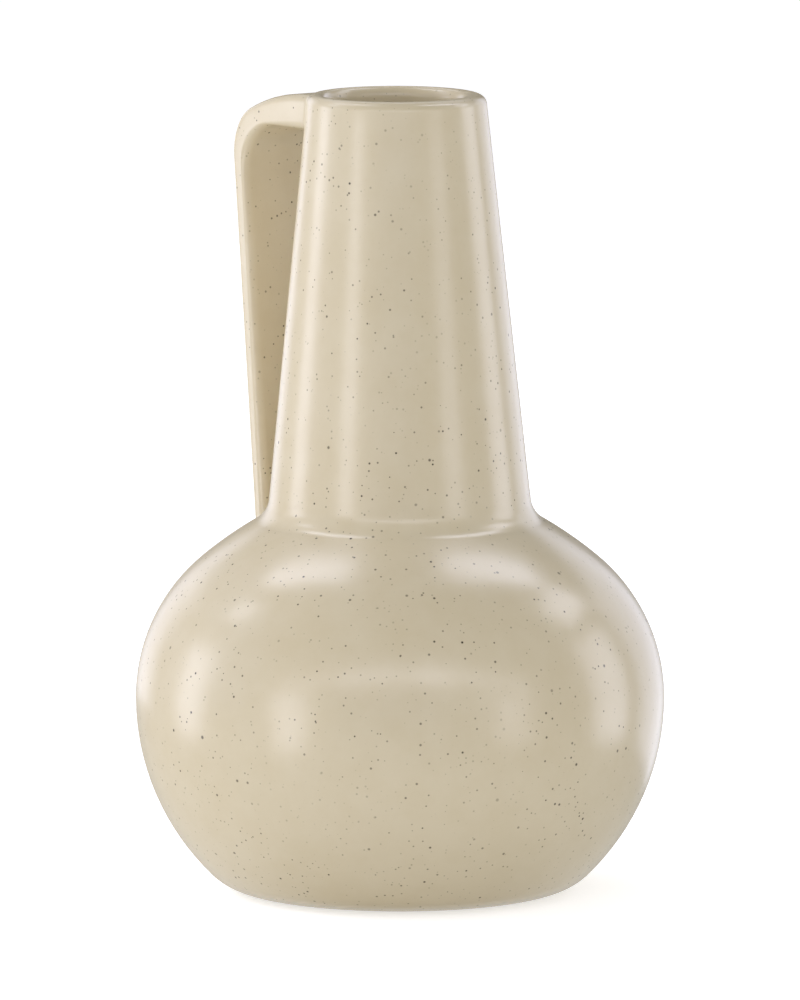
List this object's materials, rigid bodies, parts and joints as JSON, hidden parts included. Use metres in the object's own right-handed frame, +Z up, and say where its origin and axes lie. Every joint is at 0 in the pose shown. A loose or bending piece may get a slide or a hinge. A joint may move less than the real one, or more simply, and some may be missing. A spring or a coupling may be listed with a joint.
{
  "type": "jug vase",
  "caption": "Round-bellied jug vase with a tapering neck, rounded rim and a flat strap handle from rim to shoulder, in speckled cream glazed stoneware.",
  "frame": {"origin": "centre of the foot, on the plane the vase stands on", "axes": "+Z up along the axis the belly and neck are turned about; the handle points along -X; +Y completes a right-handed frame"},
  "size_m": [0.16, 0.16, 0.242],
  "materials": {
    "speckled_glaze": "satin-gloss cream glaze with fine brown iron specks",
    "bare_stoneware": "matte unglazed fired clay"
  },
  "bodies": {
    "root": {"belly": "speckled_glaze", "foot_ring": "bare_stoneware", "neck": "speckled_glaze", "neck_coil": "speckled_glaze", "strap_handle": "speckled_glaze", "handle_root_slip": "speckled_glaze", "handle_foot_slip": "speckled_glaze"}
  },
  "joints": []
}
